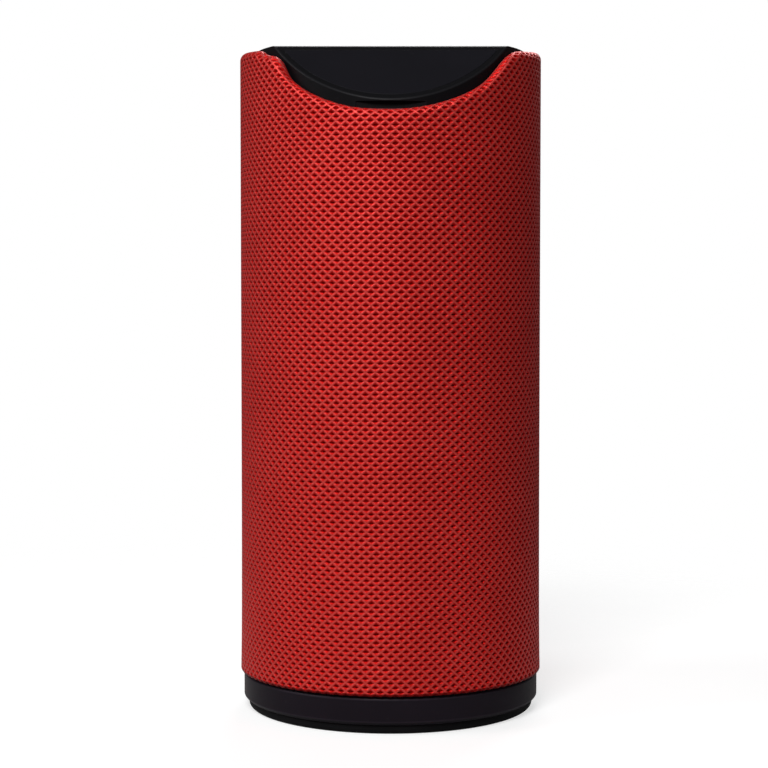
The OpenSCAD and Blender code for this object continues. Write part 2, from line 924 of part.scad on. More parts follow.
// A push button: a round key with a flange under the deck
module key(at, r) {
  color("#2a2a2e")
    translate([at[0], at[1], 0]) {
      translate([0, 0, key_under]) cylinder(r = r + key_flange, h = key_flange_t);
      translate([0, 0, key_under]) cylinder(r = r, h = deck_h + button_proud - key_under);
    }
}

// A raised stroke on top of a button
module stroke(at, w, d) {
  color("#d8d8da")
    translate([at[0] - w / 2, at[1] - d / 2, deck_h + button_proud]) cube([w, d, symbol_h]);
}

module button_play() {
  size = 2.2;
  key(play_at, play_r);
  color("#d8d8da")
    translate([play_at[0], play_at[1], deck_h + button_proud])
      cylinder(r = size, h = symbol_h, $fn = 3);
}

module button_minus() {
  key(minus_at, side_key_r);
  stroke(minus_at, 3.6, symbol_w);
}

module button_plus() {
  key(plus_at, side_key_r);
  stroke(plus_at, 3.6, symbol_w);
  stroke(plus_at, symbol_w, 3.6);
}

module button_mode() {
  dot_r = 0.9;
  key(mode_at, mode_r);
  color("#d8d8da")
    translate([mode_at[0], mode_at[1], deck_h + button_proud])
      cylinder(r = dot_r, h = symbol_h);
}

module light_pipe() {
  foot_h = 1;
  color("#dfe8ee")
    translate([pipe_at[0], pipe_at[1], 0]) {
      translate([0, 0, deck_h - deck_t - foot_h]) cylinder(r = pipe_r + 0.5, h = foot_h);
      translate([0, 0, deck_h - deck_t - foot_h]) cylinder(r = pipe_r, h = deck_t + foot_h);
    }
}

module microphone() {
  color("#b9bcc2")
    translate([mic_at[0], mic_at[1], key_board_top])
      difference() {
        cylinder(r = mic_r, h = mic_h);
        translate([0, 0, mic_h - 0.3]) cylinder(r = 0.6, h = 1);
      }
}

// ---------- leads ----------

module battery_leads() {
  color("#b02020") for (route = battery_routes) lead(route, lead_r);
}

module speaker_leads() {
  color("#303030") for (route = speaker_routes) lead(route, lead_r);
}

module key_leads() {
  color("#d0d0d0") lead(key_route, key_bundle_r);
}

rubber_foot();
base_cap();
base_screws();
grille_tube();
cloth_sleeve();
front_chassis();
rear_chassis();
chassis_gasket();
chassis_screws();
at_driver(upper_z) basket();  // upper_basket
at_driver(upper_z) top_plate();  // upper_top_plate
at_driver(upper_z) magnet();  // upper_magnet
at_driver(upper_z) yoke();  // upper_yoke
at_driver(upper_z) voice_coil();  // upper_voice_coil
at_driver(upper_z) cone();  // upper_cone
at_driver(upper_z) surround();  // upper_surround
at_driver(upper_z) spider();  // upper_spider
at_driver(lower_z) basket();  // lower_basket
at_driver(lower_z) top_plate();  // lower_top_plate
at_driver(lower_z) magnet();  // lower_magnet
at_driver(lower_z) yoke();  // lower_yoke
at_driver(lower_z) voice_coil();  // lower_voice_coil
at_driver(lower_z) cone();  // lower_cone
at_driver(lower_z) surround();  // lower_surround
at_driver(lower_z) spider();  // lower_spider
driver_screws();
radiator_frame();
radiator_surround();
radiator_plate();
battery_cell();
battery_cradle();
battery_tabs();
main_board();
board_screws();
bluetooth_module();
amplifier_chip();
capacitors();
power_switch_body();
power_switch_knob();
micro_usb_socket();
aux_jack();
card_slot();
usb_a_socket();
usb_a_tongue();
port_plate();
top_cap();
fascia_panel();
key_board();
key_switches();
key_screws();
button_play();
button_minus();
button_plus();
button_mode();
light_pipe();
microphone();
battery_leads();
speaker_leads();
key_leads();
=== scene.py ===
"""Looks for a portable bluetooth speaker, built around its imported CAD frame.

Metres, +Z up, the slanted front towards -Y. Everything is placed from the frame's own boxes.
"""

import json
import math

import bmesh
import bpy
import numpy as np
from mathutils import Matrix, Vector

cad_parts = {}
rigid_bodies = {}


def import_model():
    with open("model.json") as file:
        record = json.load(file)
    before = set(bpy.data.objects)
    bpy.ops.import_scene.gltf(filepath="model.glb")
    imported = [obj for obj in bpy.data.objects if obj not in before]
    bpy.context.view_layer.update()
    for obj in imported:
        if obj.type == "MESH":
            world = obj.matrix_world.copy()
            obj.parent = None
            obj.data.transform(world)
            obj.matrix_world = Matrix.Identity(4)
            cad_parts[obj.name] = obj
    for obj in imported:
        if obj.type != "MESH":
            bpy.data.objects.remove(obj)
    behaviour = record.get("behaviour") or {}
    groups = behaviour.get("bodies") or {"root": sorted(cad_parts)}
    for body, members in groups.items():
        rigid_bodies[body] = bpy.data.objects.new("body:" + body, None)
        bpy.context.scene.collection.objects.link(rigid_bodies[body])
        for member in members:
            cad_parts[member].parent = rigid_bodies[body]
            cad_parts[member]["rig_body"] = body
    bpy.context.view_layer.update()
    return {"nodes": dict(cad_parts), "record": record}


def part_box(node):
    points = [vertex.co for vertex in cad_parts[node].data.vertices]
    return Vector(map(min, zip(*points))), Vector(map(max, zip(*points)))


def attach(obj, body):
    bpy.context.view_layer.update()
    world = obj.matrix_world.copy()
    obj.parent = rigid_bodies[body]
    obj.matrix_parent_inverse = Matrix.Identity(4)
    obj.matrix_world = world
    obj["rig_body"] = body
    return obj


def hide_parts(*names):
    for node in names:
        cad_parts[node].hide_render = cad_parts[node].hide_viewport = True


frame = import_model()
MM = 0.001


# ---------- sizes and places ----------

SLEEVE_LOW, SLEEVE_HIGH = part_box("cloth_sleeve")
SLEEVE_R = SLEEVE_HIGH.x
CAP_LOW, CAP_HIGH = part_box("top_cap")
DECK_Z = CAP_HIGH.z
PLATE_LOW, PLATE_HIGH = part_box("port_plate")
FLOOR_R = 0.32

# The cap's slant, and the slot in its front
SLANT = math.radians(41)
RIDGE_Y = 17.8 * MM           # how far the ridge lies in front of the axis
SLOT_TOP = DECK_Z - 14.3 * MM
SLOT_HEIGHT = 1.7 * MM
SLOT_HALF_WIDTH = 8.05 * MM

# The sleeve's edges
ROLL_R = 1.72 * MM            # half the thickness of the roll at the upper edge
ROLL_DROP = 1.5 * MM          # from the plane of the slant down to the roll's crest
HEM_R = 0.45 * MM             # the fold at the lower edge
HEM_LIFT = 0.05 * MM
TUCK = 5.0 * MM               # how far the cloth goes down behind the tube
OPENING_EASE = 0.35 * MM
OPENING_CORNER = 5.0 * MM

# Weave, counted from the photograph: cells round the sleeve, and the height of one cell
CELLS_ROUND = 100
CELL_HEIGHT = 2.03 * MM
COLUMNS_PER_CELL = 6
ROWS_PER_CELL = 10
RELIEF = 0.62 * MM            # from the top of a strand to the bottom of a hole
PIT_HALF_U = 0.26             # the pressed-in shape of a hole, in cells
PIT_HALF_V = 0.108
HOLE_HALF_U = 0.25            # the dark middle of a hole, in cells
HOLE_HALF_V = 0.078
OVER_UNDER = 0.06             # how far a strand dips where it goes under another
CLOTH_RED = (0.55, 0.0060, 0.0046)
# Painted highlight: the paler red laid on the strands' crests.
CLOTH_HIGHLIGHT = (0.86, 0.116, 0.102)
# A deeper red: the cloth's own patchy tone, and painted shade round each hole.
CLOTH_DEEP_TONE_AND_SHADE = (0.32, 0.0022, 0.0018)
# Darkest red: in the holes, partly the black tube behind them and partly painted shade; also
# painted shade along the hem's fold.
CLOTH_HOLE_AND_HEM_SHADE = (0.150, 0.0002, 0.0002)

# Plastics that show on faces and on their edges, paler there from wear and a painted highlight
CAP_BLACK = (0.0047, 0.0046, 0.0055)
BASE_BLACK = (0.0122, 0.0088, 0.0132)
PORT_BLACK = (0.016, 0.016, 0.018)


# ---------- small calls for building a material's nodes ----------


class Paint:
    """One procedural material and its node tree. Inputs may be numbers, colours or node sockets."""

    def __init__(self, name, **sockets):
        """The sockets are the shader's own values; an underscore stands for a space."""
        self.material = bpy.data.materials.new(name)
        self.material.use_nodes = True
        self.tree = self.material.node_tree
        self.shader = self.tree.nodes["Principled BSDF"]
        for label, value in sockets.items():
            self.put(self.shader.inputs[label.replace("_", " ")], value)

    def put(self, socket, value):
        if isinstance(value, bpy.types.NodeSocket):
            self.tree.links.new(value, socket)
        elif socket.type == "RGBA" and len(value) == 3:
            socket.default_value = (*value, 1)
        else:
            socket.default_value = value

    def node(self, kind, settings=None, **inputs):
        """A new shader node, with its settings and its inputs by label."""
        made = self.tree.nodes.new("ShaderNode" + kind)
        for label, value in (settings or {}).items():
            setattr(made, label, value)
        for label, value in inputs.items():
            self.put(made.inputs[label], value)
        return made

    def math(self, operation, *values):
        made = self.tree.nodes.new("ShaderNodeMath")
        made.operation = operation
        for socket, value in zip(made.inputs, values):
            self.put(socket, value)
        return made.outputs[0]

    def place(self):
        """The object's own coordinates, in metres, which go with a part when it moves."""
        return self.node("TexCoord").outputs["Object"]

    def noise(self, size, detail=3.0, vector=None, rough=0.5):
        """Noise with features of a given size in metres."""
        made = self.node("TexNoise", Vector=vector or self.place(), Scale=1 / size, Detail=detail,
                         Roughness=rough)
        return made.outputs["Fac"]

    def range(self, value, low, high, to_low, to_high):
        """Takes values from low to high smoothly to values from to_low to to_high."""
        made = self.node("MapRange", {"interpolation_type": "SMOOTHSTEP"}, Value=value)
        for label, number in zip(("From Min", "From Max", "To Min", "To Max"),
                                 (low, high, to_low, to_high)):
            self.put(made.inputs[label], number)
        return made.outputs[0]

    def mix(self, share, first, second):
        """The first colour where the share is 0, and the second where it is 1."""
        made = self.node("Mix", {"data_type": "RGBA"})
        self.put(made.inputs[0], share)
        self.put(made.inputs[6], first)
        self.put(made.inputs[7], second)
        return made.outputs[2]

    def bump(self, height, depth):
        """Bump from a height from 0 to 1 and its depth in metres."""
        return self.node("Bump", Height=height, Distance=depth).outputs[0]

    def finish(self, colour=None, roughness=None, normal=None):
        for label, value in (("Base Color", colour), ("Roughness", roughness), ("Normal", normal)):
            if value is not None:
                self.put(self.shader.inputs[label], value)
        return self.material


# ---------- materials ----------


def moulded(name, colour, rough=0.42, grain=0.22 * MM, depth=0.010 * MM, shine=0.14):
    """Moulded plastic: fine eroded grain, faint flow marks and a little dust."""
    p = Paint(name, Specular_IOR_Level=shine)
    fine = p.noise(grain, 2.0)
    flow = p.noise(26 * MM, 2.0)
    dust = p.range(p.noise(1.3 * MM, 6.0, rough=0.72), 0.60, 0.78, 0.0, 1.0)
    darker = tuple(c * 0.78 for c in colour)
    body = p.mix(p.range(flow, 0.3, 0.7, 0.0, 1.0), darker, colour)
    body = p.mix(p.math("MULTIPLY", dust, 0.03), body, (0.30, 0.29, 0.28))
    gloss = p.math("ADD", p.math("MULTIPLY", flow, 0.12), rough - 0.06)
    gloss = p.math("ADD", gloss, p.math("MULTIPLY", fine, 0.08))
    return p.finish(body, gloss, p.bump(fine, depth))


def worn_and_highlit_edge(name, colour, rough, shine):
    """The rounded edges of a moulding, paler and smoother: a little rubbed by wear, and paler still
    as a painted highlight where they catch the light.
    """
    paler = tuple(c * 1.7 + 0.0022 for c in colour)
    return moulded(name, paler, rough - 0.06, depth=0.006 * MM, shine=shine)


def rubber(name, colour, rough=0.62, grain=0.16 * MM):
    """Soft-touch rubber: a dull, closely speckled skin with scuffs and a trace of dust."""
    p = Paint(name, Specular_IOR_Level=0.07)
    fine = p.noise(grain, 3.0)
    cloud = p.noise(9 * MM, 4.0)
    scuff = p.range(p.noise(0.7 * MM, 8.0, rough=0.8), 0.62, 0.80, 0.0, 0.25)
    body = p.mix(p.range(cloud, 0.35, 0.65, 0.0, 1.0), tuple(c * 0.75 for c in colour), colour)
    body = p.mix(scuff, body, tuple(c * 1.8 + 0.03 for c in colour))
    gloss = p.math("ADD", p.math("MULTIPLY", cloud, 0.15), rough - 0.08)
    return p.finish(body, gloss, p.bump(fine, 0.014 * MM))


def metal(name, colour, rough=0.3, stretch=(1, 1, 12), scratch=0.35 * MM):
    """Rolled or plated metal: drawn scratches, a cloudy tarnish and brighter edges."""
    p = Paint(name, Metallic=1.0)
    drawn = p.node("Mapping", Vector=p.place(), Scale=stretch).outputs[0]
    lines = p.noise(scratch, 4.0, vector=drawn, rough=0.7)
    cloud = p.noise(5 * MM, 3.0)
    edge = p.range(p.node("NewGeometry").outputs["Pointiness"], 0.52, 0.62, 0.0, 0.5)
    body = p.mix(p.range(cloud, 0.35, 0.7, 0.0, 1.0), colour, tuple(c * 0.72 for c in colour))
    body = p.mix(edge, body, tuple(min(1, c * 1.25) for c in colour))
    gloss = p.math("ADD", p.math("MULTIPLY", lines, 0.22), rough - 0.08)
    return p.finish(body, gloss, p.bump(lines, 0.006 * MM))


def fibrous(name, colour, fibre=0.5 * MM, rough=0.85, depth=0.03 * MM):
    """Felted paper or open foam: tangled fibres or cells, with painted shade darkening the gaps
    between them.
    """
    p = Paint(name)
    bent = p.noise(2 * MM, 3.0)
    cells = p.node("TexVoronoi", {"feature": "DISTANCE_TO_EDGE"}, Vector=p.place(), Scale=1 / fibre)
    gap = p.range(cells.outputs["Distance"], 0.02, 0.25, 0.0, 1.0)
    # Painted shade in the gaps, which the bump also sinks.
    body = p.mix(gap, tuple(c * 0.45 for c in colour), colour)
    body = p.mix(p.range(bent, 0.4, 0.7, 0.0, 0.5), body, tuple(c * 1.35 for c in colour))
    return p.finish(body, p.range(bent, 0.3, 0.7, rough - 0.08, rough + 0.06), p.bump(gap, depth))


def winding(name, colour, pitch=0.28 * MM, axis="Y"):
    """A close winding of enamelled wire about an axis, with painted shade in the grooves between
    the turns.
    """
    p = Paint(name, Metallic=0.9, Coat_Weight=0.5)
    wave = p.node("TexWave", {"bands_direction": axis}, Vector=p.place(),
                  Scale=math.pi / (10 * pitch), Distortion=0.0)
    turn = wave.outputs["Fac"]
    # Painted shade in the grooves between turns, where the bump is low.
    body = p.mix(turn, tuple(c * 0.35 for c in colour), colour)
    return p.finish(body, p.range(p.noise(2 * MM), 0.3, 0.7, 0.25, 0.4), p.bump(turn, 0.05 * MM))


def circuit_board():
    """Solder resist over copper tracks, with a woven glass core under it."""
    p = Paint("circuit_board", Coat_Weight=0.4, Coat_Roughness=0.2)
    cells = p.node("TexVoronoi", {"feature": "DISTANCE_TO_EDGE"}, Vector=p.place(),
                   Scale=1 / (3 * MM))
    track = p.range(cells.outputs["Distance"], 0.05, 0.09, 1.0, 0.0)
    weave = p.noise(0.4 * MM, 2.0)
    body = p.mix(track, (0.010, 0.075, 0.030), (0.035, 0.160, 0.060))
    body = p.mix(p.math("MULTIPLY", weave, 0.25), body, (0.05, 0.11, 0.05))
    return p.finish(body, p.range(weave, 0.3, 0.7, 0.28, 0.42), p.bump(track, 0.03 * MM))


def clear_plastic():
    """Frosted light-pipe plastic."""
    p = Paint("clear_plastic", Transmission_Weight=0.55, IOR=1.49)
    cloud = p.noise(1.2 * MM, 4.0)
    return p.finish(p.mix(cloud, (0.72, 0.76, 0.80), (0.86, 0.88, 0.90)),
                    p.range(cloud, 0.3, 0.7, 0.22, 0.42), p.bump(p.noise(0.15 * MM), 0.01 * MM))


def wrap_film(name, colour):
    """Heat-shrunk film: tight, glossy, with fine wrinkles whose hollows are darkened by painted
    shade.
    """
    p = Paint(name, Coat_Weight=0.3)
    drawn = p.node("Mapping", Vector=p.place(), Scale=(1, 1, 5)).outputs[0]
    folds = p.noise(1.6 * MM, 5.0, vector=drawn)
    # Painted shade in the wrinkles' hollows, where the bump is low.
    body = p.mix(folds, tuple(c * 0.7 for c in colour), colour)
    return p.finish(body, p.range(folds, 0.3, 0.7, 0.22, 0.40), p.bump(folds, 0.05 * MM))


def woven_cloth():
    """Open-woven polyester: diagonal strands that cross over and under round staggered holes,
    with a painted highlight on their crests and painted shade round the holes, in them and at the
    hem.

    The mesh's lattice attribute counts cells round the sleeve and along it; holes sit at whole
    numbers and at halves, and the strands run between them.
    """
    p = Paint("woven_cloth", Metallic=0.55, Specular_IOR_Level=0.10)
    lattice = p.node("Attribute", {"attribute_name": "lattice"}).outputs["Vector"]
    axes = p.node("SeparateXYZ", Vector=lattice).outputs
    u, v = axes[0], axes[1]

    def from_hole(shift):
        du = p.math("SUBTRACT", p.math("FRACT", p.math("ADD", u, shift)), 0.5)
        dv = p.math("SUBTRACT", p.math("FRACT", p.math("ADD", v, shift)), 0.5)
        du = p.math("POWER", p.math("ABSOLUTE", p.math("DIVIDE", du, HOLE_HALF_U)), 1.35)
        dv = p.math("POWER", p.math("ABSOLUTE", p.math("DIVIDE", dv, HOLE_HALF_V)), 1.35)
        return p.math("ADD", du, dv)

    spread = p.math("MINIMUM", from_hole(0.5), from_hole(1.0))
    hole = p.range(spread, 0.35, 1.6, 1.0, 0.0)
    along_a = p.math("SUBTRACT", u, v)
    along_b = p.math("ADD", u, v)
    sin_a = p.math("SINE", p.math("MULTIPLY", along_b, math.pi))
    sin_b = p.math("SINE", p.math("MULTIPLY", along_a, math.pi))
    over = p.math("MULTIPLY", p.math("MULTIPLY", sin_a, sin_b), OVER_UNDER)
    strand_a = p.math("MULTIPLY", p.math("MULTIPLY", sin_a, sin_a),
                      p.math("ADD", 1 - OVER_UNDER, over))
    strand_b = p.math("MULTIPLY", p.math("MULTIPLY", sin_b, sin_b),
                      p.math("SUBTRACT", 1 - OVER_UNDER, over))
    crest = p.math("MAXIMUM", strand_a, strand_b)
    a_on_top = p.math("GREATER_THAN", strand_a, strand_b)

    def fibre(along, across):
        turn = p.math("ADD", p.math("MULTIPLY", along, 7.0), p.math("MULTIPLY", across, 3.0))
        wave = p.math("SINE", p.math("MULTIPLY", turn, math.tau))
        return p.math("ADD", 0.5, p.math("MULTIPLY", wave, 0.5))

    twist = p.mix(a_on_top, fibre(along_b, along_a), fibre(along_a, along_b))
    fuzz = p.noise(0.12 * MM, 3.0)
    patch = p.noise(14 * MM, 3.0)
    # Painted shade: deeper red round each hole, where the strands sink into it.
    body = p.mix(p.range(spread, 0.7, 1.9, 0.0, 1.0), CLOTH_DEEP_TONE_AND_SHADE, CLOTH_RED)
    # Painted highlight along the strands' crests, broken by their twist.
    ridge = p.range(crest, 0.58, 1.0, 0.0, 1.0)
    light = p.math("MULTIPLY", ridge, p.math("ADD", 0.35, p.math("MULTIPLY", twist, 0.5)))
    body = p.mix(light, body, CLOTH_HIGHLIGHT)
    body = p.mix(p.range(patch, 0.3, 0.7, 0.0, 0.14), body, CLOTH_DEEP_TONE_AND_SHADE)
    # The holes: the dark of the tube behind them, with painted shade for their depth.
    body = p.mix(hole, body, CLOTH_HOLE_AND_HEM_SHADE)
    # Painted shade along the hem, where the cloth folds under.
    body = p.mix(p.range(v, 0.72, 0.95, 0.85, 0.0), body, CLOTH_HOLE_AND_HEM_SHADE)
    full = p.math("SUBTRACT", 1.0, p.math("POWER", p.math("SUBTRACT", 1.0, crest), 1.4))
    height = p.math("ADD", p.math("MULTIPLY", full, 0.7), p.math("MULTIPLY", twist, 0.15))
    height = p.math("ADD", height, p.math("MULTIPLY", fuzz, 0.15))
    height = p.math("MULTIPLY", height, p.math("SUBTRACT", 1.0, hole))
    gloss = p.math("ADD", 0.35, p.math("MULTIPLY", fuzz, 0.12))
    return p.finish(body, gloss, p.bump(height, 0.13 * MM))


# ---------- the cloth sleeve ----------


def hump(degrees, centre, width, power=2):
    """A smooth hump of height 1 at a centre, with its half width in degrees."""
    return np.exp(-(((degrees - centre) / width) ** power))


def smooth_step(share):
    """Goes smoothly from 0 to 1 as the share does."""
    share = np.clip(share, 0, 1)
    return share * share * (3 - 2 * share)


def crest_height(angle):
    """Height of the roll's crest at an angle from the front, in radians. It follows the slant in
    front and the deck behind. The cloth is tucked by hand, so it stands a little higher at both
    shoulders of the slant and sags between them."""
    degrees = np.degrees(angle)
    forward = (SLEEVE_R - ROLL_R) * np.cos(angle) - RIDGE_Y
    slanted = DECK_Z - ROLL_DROP - forward * math.tan(SLANT)
    left = hump(degrees, -48.5, np.where(degrees < -48.5, 6.5, 4.2))
    right = hump(degrees, 51, 9.0)
    sag = hump(degrees, -24, 16, 4)
    slanted = slanted + (2.5 * left + 1.8 * right - 0.4 * sag) * MM
    side = smooth_step((np.abs(degrees) - 58) / 28)
    level = DECK_Z - np.where(degrees < 0, 1.0 - 0.8 * side, 1.2 - 1.2 * side) * MM
    soft = 0.45 * MM
    return -soft * np.logaddexp(-slanted / soft, -level / soft)


def sleeve_point(angle, length):
    """Radius, height and outward direction of the cloth at a length along it from the hem's inner
    end, and the whole length there."""
    wall_z = crest_height(angle) - ROLL_R
    hem_z = SLEEVE_LOW.z + HEM_R + HEM_LIFT
    hem_len = math.pi * HEM_R
    wall_len = wall_z - hem_z
    roll_len = math.pi * ROLL_R
    hem = np.clip(length / HEM_R, 0, math.pi)
    up = np.clip(length - hem_len, 0, wall_len)
    roll = np.clip((length - hem_len - wall_len) / ROLL_R, 0, math.pi)
    down = np.clip(length - hem_len - wall_len - roll_len, 0, TUCK)
    flare = 0.28 * MM * np.exp(-(up / (13 * MM)))
    radius = SLEEVE_R - HEM_R - HEM_R * np.cos(hem) - ROLL_R + ROLL_R * np.cos(roll) + flare
    height = hem_z - HEM_R * np.sin(hem) + up + ROLL_R * np.sin(roll) - down
    out_r = np.where(hem < math.pi, -np.cos(hem), np.cos(roll))
    out_z = np.where(hem < math.pi, -np.sin(hem), np.sin(roll))
    return radius, height, out_r, out_z, hem_len + wall_len + roll_len + TUCK


def from_pit(u, v):
    """Distance from the nearest of the holes at whole numbers of cells, 1 at a hole's edge."""
    du, dv = np.abs((u + 0.5) % 1 - 0.5), np.abs((v + 0.5) % 1 - 0.5)
    return (du / PIT_HALF_U) ** 1.5 + (dv / PIT_HALF_V) ** 1.5


def weave_depth(u, v):
    """How far the cloth's face lies under the top of its strands, from 0 to 1. The holes lie at
    whole numbers of cells and, in between, at halves."""
    hole = smooth_step((1.5 - np.minimum(from_pit(u, v), from_pit(u - 0.5, v - 0.5))) / 1.2)
    sin_a, sin_b = np.sin(math.pi * (u + v)), np.sin(math.pi * (u - v))
    over = OVER_UNDER * sin_a * sin_b
    crest = np.maximum(sin_a ** 2 * (1 - OVER_UNDER + over), sin_b ** 2 * (1 - OVER_UNDER - over))
    return np.clip(0.80 * hole + 0.20 * (1 - crest), 0, 1)


def mesh_object(name, points, faces, smooth=True):
    """A mesh object from an array of points and an array of quads."""
    mesh = bpy.data.meshes.new(name)
    mesh.vertices.add(len(points))
    mesh.vertices.foreach_set("co", np.asarray(points, np.float32).ravel())
    mesh.loops.add(faces.size)
    mesh.loops.foreach_set("vertex_index", faces.astype(np.int32).ravel())
    mesh.polygons.add(len(faces))
    starts = np.arange(0, faces.size, faces.shape[1], dtype=np.int32)
    mesh.polygons.foreach_set("loop_start", starts)
    mesh.polygons.foreach_set("use_smooth", np.full(len(faces), smooth))
    mesh.update(calc_edges=True)
    mesh.validate()
    made = bpy.data.objects.new(name, mesh)
    bpy.context.scene.collection.objects.link(made)
    return made


def opening_border(x, z):
    """For points in elevation: the signed distance to the port opening's outline, negative inside,
    and the nearest point of the outline."""
    centre_z = (PLATE_LOW.z + PLATE_HIGH.z) / 2
    half = np.array([PLATE_HIGH.x + OPENING_EASE, (PLATE_HIGH.z - PLATE_LOW.z) / 2 + OPENING_EASE])
    p = np.stack([np.abs(x), np.abs(z - centre_z)], -1)
    q = p - (half - OPENING_CORNER)
    outside = np.linalg.norm(np.maximum(q, 0), axis=-1)
    distance = outside + np.minimum(q.max(-1), 0) - OPENING_CORNER
    round_part = (q > 0).all(-1)
    scale = OPENING_CORNER / np.maximum(np.linalg.norm(q, axis=-1), 1e-9)
    near = np.where(round_part[..., None], half - OPENING_CORNER + q * scale[..., None], p)
    side = ~round_part & (q[..., 0] >= q[..., 1])
    level = ~round_part & ~side
    near[..., 0] = np.where(side, half[0], near[..., 0])
    near[..., 1] = np.where(level, half[1], near[..., 1])
    near_x = np.copysign(near[..., 0], x)
    near_z = centre_z + np.copysign(near[..., 1], z - centre_z)
    return distance, near_x, near_z


def sleeve_grid():
    """The sleeve's grid: each point's angle, its length along the cloth and whether it lies on the
    border of the port opening, then the quads, and which of them close the ring behind."""
    columns = CELLS_ROUND * COLUMNS_PER_CELL
    step = CELL_HEIGHT / ROWS_PER_CELL
    heading = np.linspace(-math.pi, math.pi, columns, endpoint=False)
    total = sleeve_point(heading, np.zeros(columns))[4]
    rows = int(math.ceil(total.max() / step)) + 1
    angle, length = np.meshgrid(heading, np.arange(rows) * step)
    length = np.minimum(length, total)

    hem_start = SLEEVE_LOW.z + HEM_R + HEM_LIFT - math.pi * HEM_R
    x, z = SLEEVE_R * np.sin(angle), length + hem_start
    distance, near_x, near_z = opening_border(x, z)
    inside = (distance < 0) & (np.cos(angle) < 0)
    border_angle = np.copysign(math.pi - np.arcsin(np.abs(near_x) / SLEEVE_R), near_x)
    angle = np.where(inside, border_angle, angle)
    length = np.where(inside, near_z - hem_start, length)

    first = np.arange(rows - 1)[:, None] * columns + np.arange(columns)[None, :]
    right = np.arange(rows - 1)[:, None] * columns + (np.arange(columns)[None, :] + 1) % columns
    quads = np.stack([first, right, right + columns, first + columns], -1)
    grows = length[1:] - length[:-1] > 0.02 * step
    grows |= inside[1:]
    hidden = inside[:-1] & inside[1:]
    keep = grows & np.roll(grows, -1, 1) & ~(hidden & np.roll(hidden, -1, 1))
    wraps = np.broadcast_to(np.arange(columns) == columns - 1, keep.shape)[keep]
    return angle.ravel(), length.ravel(), inside.ravel(), quads[keep], wraps


def cloth_sleeve():
    """The woven sleeve as one sheet: hemmed at the base, rolled over the tube's upper edge and
    tucked in behind it, with an opening for the port plate. Its relief follows the weave."""
    angle, length, on_border, quads, wraps = sleeve_grid()
    u = (angle + math.pi) / math.tau * CELLS_ROUND
    v = length / CELL_HEIGHT
    radius, height, out_r, out_z, _ = sleeve_point(angle, length)
    sink = RELIEF * weave_depth(u, v)
    radius, height = radius - sink * out_r, height - sink * out_z
    swing, lift = strain(angle, height)
    turn = angle + swing
    points = np.stack([radius * np.sin(turn), -radius * np.cos(turn), height + lift], -1)
    lattice = np.stack([u[quads], v[quads], np.zeros(quads.shape)], -1)
    lattice[wraps, 1:3, 0] += np.where(lattice[wraps, 1:3, 0] < CELLS_ROUND / 2, CELLS_ROUND, 0)

    used, inverse = np.unique(quads, return_inverse=True)
    quads = inverse.reshape(quads.shape)
    points, quads, lattice = turn_in_edge(points[used], quads, lattice, on_border[used])
    made = mesh_object("woven_sleeve", points, quads)
    attribute = made.data.attributes.new("lattice", "FLOAT_VECTOR", "CORNER")
    attribute.data.foreach_set("vector", lattice.astype(np.float32).ravel())
    made.data.materials.append(woven_cloth())
    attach(made, "speaker")
    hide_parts("cloth_sleeve")


def strain(angle, height):
    """Small uneven stretch of the cloth, as an angle and a height, none of it near its edges."""
    band, top = 12 * MM, 140 * MM
    inner = np.clip((height - SLEEVE_LOW.z) / band, 0, 1) * np.clip((top - height) / band, 0, 1)
    front = np.clip(0.5 + 0.9 * np.cos(angle), 0, 1)
    ease = inner * front
    swing = 0.0075 * ease * np.sin(3 * angle + height / (21 * MM))
    swing = swing * np.sin(height / (33 * MM) + 0.7)
    lift = 0.22 * MM * ease * np.sin(2 * angle + 1.1) * np.sin(height / (27 * MM))
    return swing, lift


def turn_in_edge(points, quads, lattice, on_border):
    """Folds the cloth inwards round the opening, away from the face and down beside the plate."""
    edges = np.concatenate([quads[:, [k, (k + 1) % 4]] for k in range(4)])
    corner = np.concatenate([np.stack([np.arange(len(quads)), np.full(len(quads), k)], -1)
                             for k in range(4)])
    both = on_border[edges].all(-1)
    edges, corner = edges[both], corner[both]
    keys = np.sort(edges, -1) @ np.array([len(points), 1])
    _, place, count = np.unique(keys, return_index=True, return_counts=True)
    edges, corner = edges[place[count == 1]], corner[place[count == 1]]
    ring = np.unique(edges)
    index = np.zeros(len(points), int)
    index[ring] = np.arange(len(ring))
    base = points[ring]
    out = base * np.array([1, 1, 0])
    out /= np.linalg.norm(out, axis=-1, keepdims=True)
    centre_z = (PLATE_LOW.z + PLATE_HIGH.z) / 2
    span = np.stack([base[:, 0] / PLATE_HIGH.x,
                     (base[:, 2] - centre_z) / (PLATE_HIGH.z - centre_z)], -1)
    edge_way = np.where(np.abs(span) > 0.9, np.sign(span), 0)
    inwards = -np.stack([edge_way[:, 0], np.zeros(len(ring)), edge_way[:, 1]], -1)
    new_quads, new_lattice, before = [], [], edges
    values = [lattice[corner[:, 0], corner[:, 1]], lattice[corner[:, 0], (corner[:, 1] + 1) % 4]]
    for shift, depth in ((0.07, 0.10), (0.12, 0.35), (0.12, 1.20)):
        start = len(points)
        points = np.concatenate([points, base + inwards * shift * MM - out * depth * MM])
        after = start + index[edges]
        new_quads.append(np.stack([before[:, 1], before[:, 0], after[:, 0], after[:, 1]], -1))
        drop = np.array([0, depth * MM / CELL_HEIGHT, 0])
        new_lattice.append(np.stack([values[1], values[0], values[0] + drop, values[1] + drop], 1))
        before = after
    return (points, np.concatenate([quads, *new_quads]), np.concatenate([lattice, *new_lattice]))


# ---------- moulded parts with rounded edges ----------


